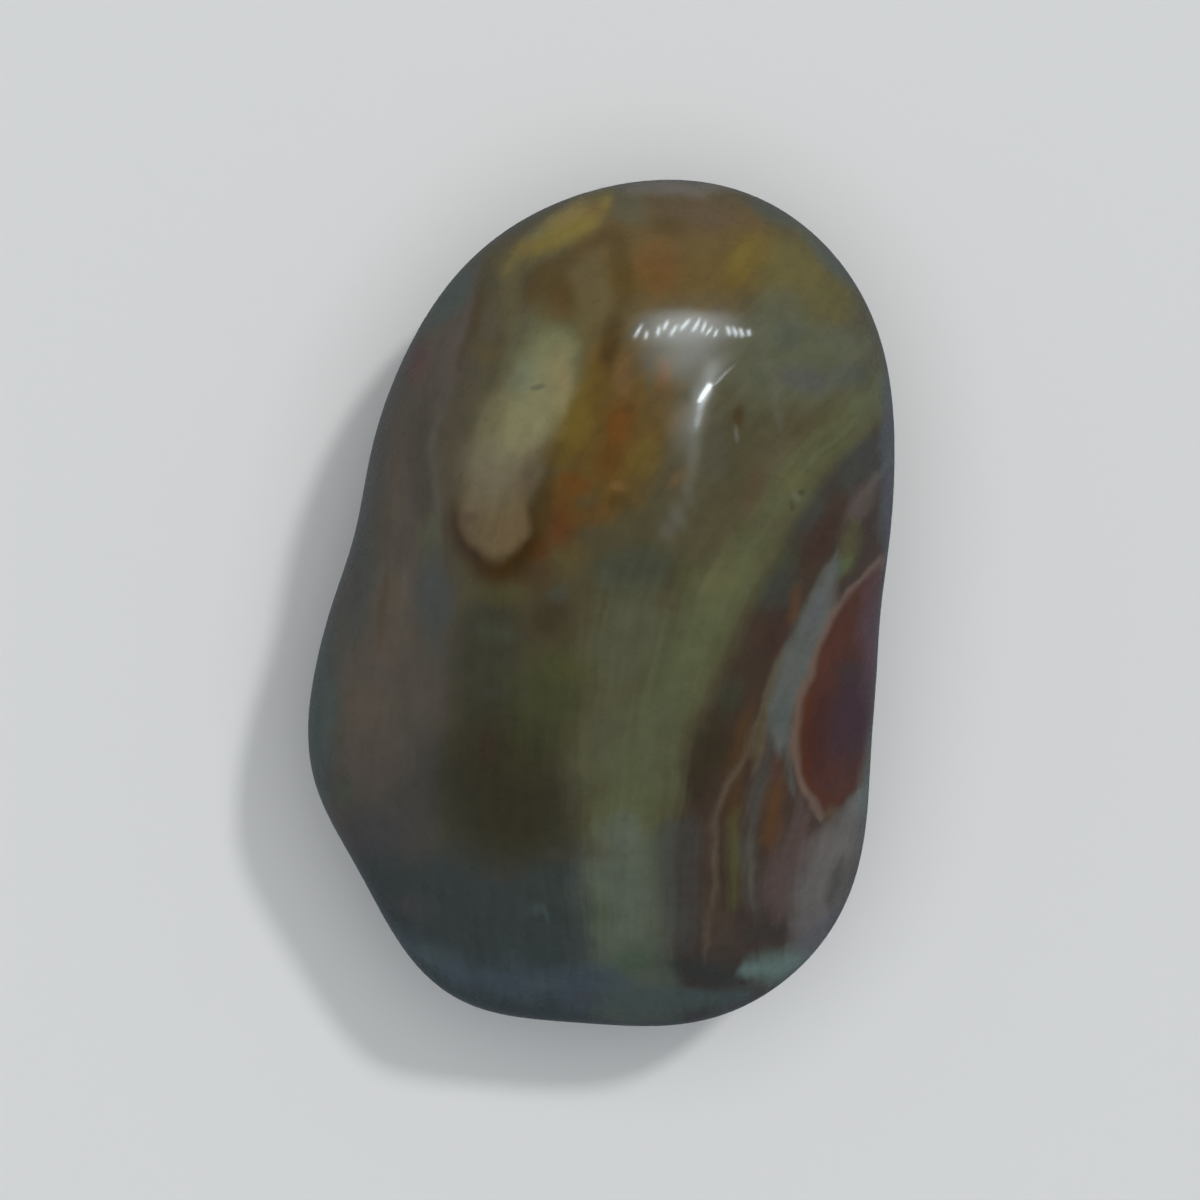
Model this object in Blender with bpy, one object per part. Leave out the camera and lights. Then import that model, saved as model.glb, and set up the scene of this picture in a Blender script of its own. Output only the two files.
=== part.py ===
"""A polished polychrome jasper freeform, about 105 x 73 x 46 mm, lying on its sawn underside.

The stone is one solid. Its widest line, the girdle, is an irregular oval. Above the girdle the
stone domes to a crown that sits off centre. Below it the stone tucks in to a flat, which was
sawn and lapped so that the stone lies still. Broad, soft-edged faces were ground on the dome
before it was polished.

Blender 4.5. Run it from the text editor, or with blender --background --python part.py.
Lengths at the top are in millimetres. The model is in metres, with +Z up and +Y along the
stone's length. The origin is on the underside, in the middle of the stone's length and width.
"""

import math

import bmesh
import bpy
import numpy as np
from mathutils import Vector, noise

MM = 0.001

# The girdle: its reach from the vertical axis, at even steps of 15 degrees counter-clockwise
GIRDLE_START_DEG = 10.0
GIRDLE_REACHES = (
    36.0, 40.0, 46.0, 51.5, 54.0, 52.5, 49.0, 44.0, 38.5, 34.5, 32.0, 32.5,
    35.5, 40.0, 43.0, 47.0, 52.0, 52.0, 53.0, 52.0, 47.5, 40.5, 36.0, 34.5,
)
GIRDLE_HEIGHT = 20.0
GIRDLE_TILT = 2.0
GIRDLE_HIGH_SIDE_DEG = 20.0

# The dome and the underside. Towards their middles their contours become a plain oval.
OVAL_HALF_WIDTH = 35.0
OVAL_HALF_LENGTH = 52.0
CROWN_HEIGHT = 46.4
CROWN_SHIFT = Vector((4.0, 3.0))
UNDERSIDE_SHIFT = Vector((1.0, -1.0))
SAWN_AWAY = 4.0
# Corners nearer to the saw's plane than this slide onto its line, so the cut leaves no slivers.
SAW_CLEARANCE = 0.35

# How much fuller than an ellipsoid the shoulder is: all round, and its swing from side to side
SHOULDER_FULLNESS = 0.10
SHOULDER_SWING = 0.16
FULLEST_SIDE_DEG = -5.0

# Each ground face: the way it faces (azimuth), its tilt from level, the depth ground away,
# and how soft polishing left its edge
GROUND_FACES = (
    ("left flank", 174.0, 41.0, 2.0, 0.55),
    ("lower left flank", 216.0, 46.0, 1.6, 0.60),
    ("foot slope", 266.0, 52.0, 1.5, 0.60),
    ("lower right slope", 316.0, 48.0, 1.3, 0.60),
    ("right shoulder", 354.0, 54.0, 1.0, 0.50),
    ("head slope", 86.0, 48.0, 1.1, 0.70),
    ("upper left slope", 144.0, 47.0, 1.4, 0.60),
    ("crown, left side", 200.0, 12.0, 0.6, 0.50),
    ("crown, right side", 17.0, 22.0, 1.3, 0.30),
)

# Slow waves left by polishing by hand
WAVE_LENGTH = 26.0
WAVE_DEPTH = 0.30

SQUARES_ALONG_A_SIDE = 25
SHARP_EDGE_DEG = 14.0
JASPER_BROWN = (0.072, 0.062, 0.037)
POLISH_ROUGHNESS = 0.14


def girdle_reach(angle):
    """Reach of the girdle at this angle: a smooth closed curve through the stated reaches."""
    terms = np.fft.rfft(GIRDLE_REACHES) / len(GIRDLE_REACHES)
    terms[1:-1] *= 2.0
    turn = angle - math.radians(GIRDLE_START_DEG)
    return float(np.sum((terms * np.exp(1j * turn * np.arange(len(terms)))).real))


def oval_reach(angle):
    """Reach of the plain oval at this angle."""
    across = math.cos(angle) / OVAL_HALF_WIDTH
    along = math.sin(angle) / OVAL_HALF_LENGTH
    return 1.0 / math.hypot(across, along)


def pebble_point(way):
    """The point of the pebble, before grinding, for a unit direction from its middle."""
    angle = math.atan2(way.y, way.x)
    outward = min(1.0, math.hypot(way.x, way.y))
    reach = oval_reach(angle) + (girdle_reach(angle) - oval_reach(angle)) * outward**2
    shift = CROWN_SHIFT if way.z > 0.0 else UNDERSIDE_SHIFT
    shift = shift * (1.0 - outward**2)
    tilt = GIRDLE_TILT * math.cos(angle - math.radians(GIRDLE_HIGH_SIDE_DEG))
    swing = SHOULDER_SWING * math.cos(angle - math.radians(FULLEST_SIDE_DEG))
    fullness = 1.0 + (SHOULDER_FULLNESS + swing) * outward**4
    depth = CROWN_HEIGHT - GIRDLE_HEIGHT if way.z > 0.0 else GIRDLE_HEIGHT + SAWN_AWAY
    return Vector(
        (
            outward * reach * math.cos(angle) + shift.x,
            outward * reach * math.sin(angle) + shift.y,
            GIRDLE_HEIGHT + tilt * outward**4 + depth * fullness * way.z,
        )
    )


def facing(azimuth_deg, tilt_deg):
    """The outward direction of a ground face."""
    azimuth = math.radians(azimuth_deg)
    tilt = math.radians(tilt_deg)
    level = math.sin(tilt)
    return Vector((level * math.cos(azimuth), level * math.sin(azimuth), math.cos(tilt)))


def grind(points, normal, depth, softness):
    """Press the points that stand beyond a plane back onto it, with a soft edge."""
    plane = max(point.dot(normal) for point in points) - depth
    for point in points:
        beyond = (point.dot(normal) - plane) / softness
        point -= normal * (softness * float(np.logaddexp(0.0, beyond)))


def wave(points):
    """Raise and lower the surface a little, in slow waves."""
    middle = Vector((0.0, 0.0, GIRDLE_HEIGHT))
    for point in points:
        outward = (point - middle).normalized()
        point += outward * (WAVE_DEPTH * noise.noise(point / WAVE_LENGTH))


def centred(points):
    """The points, with the vertical axis in the middle of the stone's length and width."""
    shift = Vector((0.0, 0.0, 0.0))
    for axis in (0, 1):
        places = [point[axis] for point in points]
        shift[axis] = (min(places) + max(places)) / 2.0
    return [point - shift for point in points]


def even_direction(corner):
    """Direction of a point on a cube, eased so that the squares stay near one size."""
    eased = Vector([math.tan(part * math.pi / 4.0) for part in corner])
    return eased.normalized()


def slide_onto_saw_line(form):
    """Slide the corners nearest to the saw's line along their edges onto it."""
    for corner in form.verts:
        if abs(corner.co.z) > SAW_CLEARANCE * MM:
            continue
        crossings = []
        for edge in corner.link_edges:
            end = edge.other_vert(corner).co
            if end.z * corner.co.z < 0.0:
                crossings.append(corner.co.lerp(end, corner.co.z / (corner.co.z - end.z)))
        if crossings:
            corner.co = min(crossings, key=lambda place: (place - corner.co).length)
            corner.co.z = 0.0


def saw_underside(form):
    """Cut the stone level at the origin and close the cut with one flat face."""
    slide_onto_saw_line(form)
    bmesh.ops.bisect_plane(
        form,
        geom=form.verts[:] + form.edges[:] + form.faces[:],
        plane_co=(0.0, 0.0, 0.0),
        plane_no=(0.0, 0.0, -1.0),
        clear_outer=True,
    )
    rim = [edge for edge in form.edges if edge.is_boundary]
    bmesh.ops.contextual_create(form, geom=rim)
    bmesh.ops.recalc_face_normals(form, faces=form.faces[:])


def stone_mesh():
    """A cube of small squares, with each corner moved onto the stone, then sawn flat below."""
    form = bmesh.new()
    bmesh.ops.create_cube(form, size=2.0)
    bmesh.ops.subdivide_edges(
        form, edges=form.edges[:], cuts=SQUARES_ALONG_A_SIDE - 1, use_grid_fill=True
    )
    corners = form.verts[:]
    points = [pebble_point(even_direction(corner.co)) for corner in corners]
    for _, azimuth, tilt, depth, softness in GROUND_FACES:
        grind(points, facing(azimuth, tilt), depth, softness)
    wave(points)
    for corner, point in zip(corners, centred(points)):
        corner.co = point * MM
    saw_underside(form)
    mesh = bpy.data.meshes.new("stone")
    form.to_mesh(mesh)
    form.free()
    return mesh


def polished_jasper():
    material = bpy.data.materials.new("polished jasper")
    material.use_nodes = True
    shader = material.node_tree.nodes["Principled BSDF"]
    shader.inputs["Base Color"].default_value = (*JASPER_BROWN, 1.0)
    shader.inputs["Roughness"].default_value = POLISH_ROUGHNESS
    shader.inputs["Metallic"].default_value = 0.0
    return material


def main():
    for thing in list(bpy.data.objects):
        bpy.data.objects.remove(thing)
    mesh = stone_mesh()
    mesh.materials.append(polished_jasper())
    mesh.shade_smooth()
    mesh.set_sharp_from_angle(angle=math.radians(SHARP_EDGE_DEG))
    stone = bpy.data.objects.new("stone", mesh)
    bpy.context.scene.collection.objects.link(stone)


main()
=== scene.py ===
"""A polished polychrome jasper freeform, lying dome up on a pale studio floor.

The stone is one piece. Its shape is the solid's, smoothed. Its bands, lenses and specks, and
painted cool reflections on its rim and foot, are grown by one procedural material, laid out in
millimetres on the stone as seen from above, and carried down its sides and underside.
"""

import math

import bmesh
import bpy
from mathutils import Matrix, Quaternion, Vector
from mathutils.interpolate import poly_3d_calc


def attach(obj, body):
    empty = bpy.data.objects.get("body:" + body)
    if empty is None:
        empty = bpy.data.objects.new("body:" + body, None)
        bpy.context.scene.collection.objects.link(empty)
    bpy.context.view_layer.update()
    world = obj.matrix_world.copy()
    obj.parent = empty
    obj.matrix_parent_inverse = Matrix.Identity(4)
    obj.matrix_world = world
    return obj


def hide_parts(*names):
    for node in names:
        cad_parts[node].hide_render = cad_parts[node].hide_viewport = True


MM = 0.001

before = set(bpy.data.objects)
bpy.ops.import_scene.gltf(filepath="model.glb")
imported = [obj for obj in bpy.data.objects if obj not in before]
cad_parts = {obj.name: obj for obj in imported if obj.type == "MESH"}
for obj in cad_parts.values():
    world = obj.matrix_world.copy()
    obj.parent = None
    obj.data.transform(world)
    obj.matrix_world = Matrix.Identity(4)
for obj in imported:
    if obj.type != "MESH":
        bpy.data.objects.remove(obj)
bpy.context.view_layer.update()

# ---------------------------------------------------------------- sizes, in millimetres
GIRDLE_HEIGHT = 20.0
CROWN_HEIGHT = 46.2
# How much the markings open at the crown, where the stone is nearer to the eye
CROWN_OPENING = 1.067
# The flat stays level up to this far from its edge, which is eased.
BASE_EDGE_EASING = 1.2

# The camera looks straight down from here.
CAMERA_PLACE = Vector((0.06, 0.47, GIRDLE_HEIGHT + 413.0))
LENS_FOCAL_LENGTH = 100.0
SENSOR_WIDTH = 36.0

# ---------------------------------------------------------------- colours, as sRGB
# The stone's colours, and the painted cool reflections on its rim and foot, are written as they
# look on the lit, polished stone. The polish lays a haze over the stone's own colours, and the
# light shows this share of them.
POLISH_HAZE = (0.005, 0.0055, 0.006)
LIT_SHARE = 0.8
STONE_AND_REFLECTION_COLOURS = {
    "olive brown": "#4a442f",
    "plum brown": "#4c463c",
    "mauve": "#4f463e",
    "tan mauve": "#544a3d",
    "plum shade": "#423b33",
    "dull plum": "#3f3c37",
    "red plum": "#54403c",
    "cool grey": "#424541",
    "blue grey": "#4c4e4a",
    "grey olive": "#4e503c",
    "pale olive": "#504f3a",
    "moss": "#3e3f2a",
    "green moss": "#444928",
    "yellow moss": "#484528",
    "grey moss": "#383b2e",
    "dull olive": "#3a392d",
    "dull green": "#404436",
    "field brown": "#3d3627",
    "field olive": "#46422e",
    "field red": "#4f4130",
    "stream green": "#52563b",
    "stream yellow": "#5a583a",
    "grey green": "#53594d",
    "leaf green": "#42523c",
    "leaf yellow": "#505834",
    "teal": "#434e4a",
    # painted reflection: a pale cool glint of the studio on the rim and the sloping foot
    "teal pale": "#5c7069",
    "slate": "#363c39",
    "dark slate": "#30332e",
    # painted reflection: the cool studio mirrored on the sloping foot
    "blue slate": "#414c52",
    "slate purple": "#413f40",
    "heart": "#333023",
    "dark olive": "#363524",
    "cream": "#767354",
    "green cream": "#6a6b4d",
    "cool cream": "#6a6e58",
    "bright tan": "#7c7150",
    "lens tan": "#64553c",
    "lens mauve": "#5a4c3c",
    "lens grey": "#6c654f",
    "rose tan": "#524235",
    "umber": "#39290e",
    "brown": "#433319",
    "dark brown": "#342d22",
    "rust brown": "#453422",
    "maroon brown": "#3b3028",
    "maroon": "#3b2c27",
    "charcoal": "#393934",
    "red brown": "#55361c",
    "rust": "#5b3e19",
    "red rust": "#623e18",
    "orange rust": "#523a26",
    "orange tan": "#694f2f",
    "amber": "#59451f",
    "ochre": "#5d4d22",
    "head amber": "#5c4b29",
    "head orange": "#634623",
    "head brown": "#4c3d1e",
    "head plum": "#574835",
    "grey mauve": "#64605a",
    "head olive": "#5b5430",
    "brass olive": "#56512e",
    "yellow ochre": "#665622",
    "lemon ochre": "#786a30",
    "straw": "#79693c",
    "straw olive": "#5a5233",
    "tan": "#5a4f33",
    "tan olive brown": "#4d4634",
    "tan olive": "#534d3a",
    "cool olive": "#525442",
    "pale line": "#5e5b50",
    "pink grey": "#524943",
    "olive yellow": "#49462d",
    "ribbon": "#525551",
    "outline": "#5f4f45",
    "orange red": "#47281b",
    "brick": "#47271b",
    "dark red": "#3a1d17",
    "red": "#452823",
    "purple": "#36232a",
    "dull purple": "#362a2a",
    "magenta": "#4e3b43",
    "brown plum": "#43382f",
    "rose": "#4c3a32",
    "mauve pink": "#50423e",
    "mauve grey": "#5f5b58",
    "grey plum": "#3e3c38",
    "lilac": "#525258",
    # painted reflection: the cool studio mirrored along the right rim
    "rim blue": "#4a4f54",
}
FLOOR_COLOUR = "#dddede"


def linear(hex_colour):
    """The linear colour of an sRGB hex value."""
    channels = [int(hex_colour[place : place + 2], 16) / 255.0 for place in (1, 3, 5)]
    curve = [
        value / 12.92 if value <= 0.04045 else ((value + 0.055) / 1.055) ** 2.4
        for value in channels
    ]
    return (*curve, 1.0)


def stone_and_reflection_colour(name):
    """The linear colour of a stone colour or of a painted reflection, with the polish's haze and the
    light taken off.
    """
    lit = linear(STONE_AND_REFLECTION_COLOURS[name])
    own = [max(0.0, value - haze) / LIT_SHARE for value, haze in zip(lit, POLISH_HAZE)]
    return (*own, 1.0)


def add(tree, kind, feeds=None, **settings):
    """Add a node with its settings. Each feed is a value, or another node's output."""
    node = tree.nodes.new(kind)
    for name, value in settings.items():
        setattr(node, name, value)
    for socket, feed in (feeds or {}).items():
        if isinstance(feed, bpy.types.NodeSocket):
            tree.links.new(feed, node.inputs[socket])
        else:
            node.inputs[socket].default_value = feed
    return node


# ---------------------------------------------------------------- the stone's markings
# Places are in millimetres, as (x, y) from above. Colours are names from STONE_AND_REFLECTION_COLOURS.
GROUND = "olive brown"

# Bands. A band runs along y or along x, and its points are (place along, place across, half
# width). A negative half width ends the band. Each band may hold zones of its own:
# label, colour, strength, softness of the edge in mm, the axis it runs along, points, zones
COUNTRY = (
    (
        "left flank", "plum brown", 1.0, 4.2, "y",
        ((-50, -30, 12), (-34, -32, 12), (-24, -32, 13.4), (-10, -32, 14.4), (5, -31, 12.6),
         (20, -30, 12.2), (30, -29, 12.4), (38, -28, 11.8), (48, -26, 11)),
        (("dull plum", 0.9, (-21.6, -22), (4.6, 7), 0, 0.7),
         ("mauve", 0.8, (-27.4, -18.4), (4.4, 3.8), 0, 0.8),
         ("tan mauve", 0.7, (-28.6, -12.6), (3.6, 3.2), 0, 0.8),
         ("mauve", 0.9, (-26, -7.6), (4.4, 4), 0, 0.8),
         ("mauve", 0.6, (-18.4, -12.2), (4.4, 2.6), 0, 0.8),
         ("slate purple", 0.8, (-27.6, -29), (4.6, 4.6), 20, 0.8)),
    ),
    (
        "dull middle", "dull olive", 0.95, 6.0, "y",
        ((-40, -10, 8), (-32, -10, 8), (-24, -11, 8), (-14, -13, 5.4), (-6, -13.6, 4.6),
         (-2, -13.4, 4), (1, -13, 1), (3, -13, -3)),
        (),
    ),
    (
        "slate foot", "slate", 1.0, 6.0, "x",
        ((-38, -50, 17), (-28, -50, 18.6), (-20, -50, 18.8), (-12, -50, 18.6), (-3, -50, 19),
         (4, -50, 16), (10, -53, 9), (18, -54, 8.6), (28, -52, 8)),
        (("dull plum", 0.7, (-12, -32.4), (3.2, 2.2), 0, 0.8),
         ("slate purple", 0.7, (-23.4, -37.6), (3.4, 1.6), 0, 0.8)),
    ),
    (
        "right country", "maroon brown", 1.0, 4.0, "y",
        ((-50, 21, 12), (-36, 20.2, 12), (-28, 20.2, 11.8), (-20, 20.8, 11.2), (-15, 22.4, 10.6),
         (-10, 23.8, 9.6), (-5, 25.7, 9.8), (0, 27.8, 9.6), (5, 30.4, 9.6), (10, 33, 9.6),
         (14, 35.9, 9.6), (18, 39, 9.6), (21, 42.6, 9.6), (26, 48.6, 8.4)),
        (("charcoal", 1.0, (32.4, 17.6), (4.6, 3.0), 40, 0.6),
         ("charcoal", 0.9, (25.6, 11.4), (2.2, 4.6), -32, 0.7),
         ("grey moss", 0.9, (21.8, 3.6), (1.7, 4.8), -28, 0.7),
         ("charcoal", 0.9, (22.4, 1.4), (2.4, 3.2), -20, 0.8),
         ("maroon", 0.9, (27.2, 7.6), (1.5, 3.4), -32, 0.7),
         ("maroon", 0.8, (21.8, -3.6), (1.8, 3.2), -20, 0.8),
         ("grey moss", 0.7, (16.2, -11.6), (1.4, 3), -20, 0.8),
         ("dark brown", 0.97, (13.4, -18.6), (2.6, 5.2), -22, 0.8),
         ("dark brown", 0.8, (11.4, -22.6), (1.8, 2.2), -20, 0.8),
         ("rust brown", 0.9, (17.6, -17.4), (1.3, 5.6), -14, 0.8),
         ("rust brown", 0.8, (16.6, -25), (1.6, 3.4), 0, 0.9)),
    ),
)

# Soft oval zones, laid one over another:
# colour, strength, middle, half sizes, turn in degrees, softness of the edge
ZONES = (
    # the left side
    ("mauve", 0.7, (-19, 30), (3.6, 4.2), 0, 0.8),
    ("teal", 0.8, (-18.4, 38), (2.2, 5.4), -38, 0.7),
    ("red plum", 0.85, (-22.2, 29.4), (1.4, 2.6), -12, 0.7),
    ("mauve", 0.5, (-25.4, 21), (1.8, 6), -8, 0.8),
    ("tan mauve", 0.5, (-25, 15), (1.8, 8), -4, 0.8),
    ("grey olive", 0.7, (-21, 8.4), (1.7, 3.0), 0, 0.7),
    ("blue grey", 0.35, (-29.4, 12), (2.2, 7), -14, 0.8),
    ("cool grey", 0.75, (-29.8, 2), (2.0, 7.6), -8, 0.7),
    ("cool grey", 0.85, (-20.4, 0.6), (2.4, 6.8), 3, 0.6),
    ("tan mauve", 0.7, (-25.4, -0.6), (2.2, 6.4), 0, 0.8),
    # painted reflection: the cool studio mirrored along the left rim
    ("teal", 0.8, (-34.8, -13), (2.5, 13), 0, 0.6),
    ("leaf green", 0.35, (-31.8, -23), (1.3, 2), 0, 0.8),
    # the dark heart
    ("heart", 0.95, (-13.6, -22.0), (6.2, 9.6), 0, 0.8),
    ("heart", 0.85, (-8.8, -26.0), (5.4, 5.6), 0, 0.9),
    ("dark olive", 0.8, (-8.6, -17.6), (4.6, 4.6), 0, 0.8),
    ("maroon", 0.4, (-14, -18), (1.3, 3), 0, 0.8),
    ("cool grey", 0.2, (-13.2, -11.2), (1.8, 1.0), 0, 0.9),
    # under the pale lens
    ("dull green", 0.5, (-12.6, -3.6), (2.6, 1.2), 0, 0.8),
    ("yellow moss", 0.5, (-12, 1.2), (3.4, 1.6), 0, 0.8),
    ("field brown", 0.9, (-6, -1.6), (3.4, 3.6), 0, 0.8),
    ("rust brown", 0.7, (-7.4, 3.4), (2.6, 2), 20, 0.8),
    ("teal", 0.35, (-5, 1.4), (1.4, 1.2), 0, 0.9),
    # the mossy field
    ("moss", 0.9, (-5.2, -11.6), (5.6, 6.4), 0, 0.7),
    ("yellow moss", 0.7, (-1.6, -7.6), (2.8, 2.4), 0, 0.8),
    ("green moss", 0.4, (-5.2, -8), (1.8, 2.6), 0, 0.9),
    ("ochre", 0.35, (-3.4, 6), (2.2, 2.6), -40, 0.9),
    # the middle
    ("dull green", 0.9, (5, 4.2), (5.6, 3.8), 10, 0.7),
    ("field olive", 0.7, (6, 10.4), (6, 3), 24, 0.8),
    ("green moss", 0.4, (10.8, 3.4), (1.5, 3.2), 0, 0.8),
    ("grey olive", 0.95, (4.6, -5), (6.4, 7.4), -6, 0.7),
    ("pale olive", 0.6, (1.4, -15), (4.2, 6.4), 0, 0.8),
    ("grey olive", 0.8, (2.8, -20), (6, 9), 0, 0.8),
    ("field olive", 0.35, (5.4, -9), (1.6, 3), 0, 0.9),
    # right of the middle
    ("field olive", 0.9, (16.6, 18), (5.6, 8), -14, 0.7),
    ("plum brown", 0.5, (14.4, 19), (1.5, 4), 0, 0.8),
    ("tan olive", 0.6, (22, 18.4), (3, 3.4), -30, 0.8),
    ("field red", 0.75, (18.9, 13), (1.5, 3.4), -8, 0.8),
    ("cool olive", 0.9, (24, 30), (9, 7), 20, 0.7),
    ("blue grey", 0.75, (25.6, 28), (3.6, 1.9), 0, 0.7),
    ("teal", 0.45, (31.4, 28.6), (3, 1.8), 0, 0.8),
    ("teal", 0.45, (23.6, 33.6), (1.8, 2), 0, 0.9),
    # the head
    ("head amber", 0.97, (10, 43.4), (14, 8.4), 0, 0.5),
    ("head orange", 0.8, (7, 41.4), (3.2, 4.0), 0, 0.8),
    ("head plum", 0.85, (11.4, 48.8), (7, 2.4), -4, 0.7),
    ("head brown", 0.7, (8.4, 47.2), (2.6, 1.4), 0, 0.8),
    ("cool olive", 0.6, (3.6, 49), (2.2, 2.6), 0, 0.8),
    ("grey mauve", 0.75, (9.4, 52.2), (8.5, 1.7), 0, 0.7),
    ("head olive", 0.9, (24, 41.4), (5.4, 5.4), -24, 0.7),
    ("yellow ochre", 0.8, (18.6, 43.6), (2.6, 2.4), 0, 0.8),
    ("yellow ochre", 0.5, (16.8, 40.6), (2.2, 2.2), 0, 0.9),
    ("cool olive", 0.7, (22.4, 36.4), (3.6, 3), 0, 0.8),
    ("brass olive", 0.8, (28.8, 37.4), (3.0, 3.2), 20, 0.7),
    ("cool olive", 0.8, (29.6, 31.8), (4.4, 2.2), 10, 0.8),
    ("teal", 0.7, (28.4, 43.2), (4.4, 1.5), -46, 0.8),
    ("teal", 0.6, (21.6, 48.8), (4.0, 1.3), -28, 0.8),
    # between the head and the pale lens
    ("olive brown", 0.9, (-13.4, 38), (2.2, 6), -12, 0.7),
    ("straw olive", 0.8, (-11.2, 42.4), (1.8, 2.2), -20, 0.9),
    ("tan mauve", 0.5, (-13, 34.6), (1.8, 1.8), 0, 0.9),
    ("ochre", 0.35, (-13.6, 31.2), (2.2, 1.2), 0, 0.9),
    ("straw olive", 0.8, (-10.8, 38.4), (1.5, 4.8), -6, 0.8),
    ("tan", 0.97, (-1.2, 37.4), (2.8, 7.0), 4, 0.5),
    ("head brown", 0.97, (-6.0, 38.0), (3.0, 4.4), 14, 0.5),
    ("red brown", 0.3, (-5.2, 36.6), (1.4, 1.8), 0, 0.9),
    ("head brown", 0.85, (2.6, 41.6), (1.5, 5.4), 0, 0.8),
    # the rust field
    ("amber", 0.97, (1.4, 22.4), (7.6, 11), -12, 0.5),
    ("yellow ochre", 0.7, (-3.2, 22.6), (2.6, 5.4), -18, 0.9),
    ("ochre", 0.8, (5.8, 17.8), (2.2, 2.6), -16, 0.8),
    ("brown", 0.8, (1.2, 32.4), (1.3, 3.6), -4, 0.8),
    ("umber", 0.4, (1.4, 31.2), (1.6, 1.3), 0, 0.8),
    ("orange tan", 0.7, (2.8, 28), (1.3, 2.8), 0, 0.8),
    ("olive brown", 0.5, (6, 28.4), (0.7, 2.8), 4, 0.8),
    ("head orange", 0.6, (8, 28), (0.9, 2.4), 0, 0.8),
    ("red rust", 0.95, (2.6, 21.8), (2.0, 3.6), -8, 0.7),
    ("brown", 0.5, (3.6, 24), (0.8, 0.9), 0, 0.8),
    ("rust", 0.9, (1, 17.6), (1.6, 2.6), -20, 0.8),
    ("red rust", 0.8, (-2.6, 14.8), (2.2, 1.3), -14, 0.7),
    ("rust", 0.8, (-4.6, 13), (2.2, 2.6), 20, 0.8),
    ("red brown", 0.95, (-4.8, 9.8), (2.8, 2.6), 34, 0.8),
    ("rust", 0.6, (-0.8, 11.4), (3.2, 1.6), 20, 0.8),
    ("red brown", 0.95, (-7.8, 6.8), (1.7, 1.9), 34, 0.7),
    ("orange tan", 0.6, (2.2, 14.6), (0.9, 0.5), 0, 0.8),
    ("orange tan", 0.4, (9.6, 15.6), (1.6, 1.0), 20, 0.9),
    ("brown", 0.4, (2.2, 13), (1.6, 0.8), 0, 0.9),
)

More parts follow.
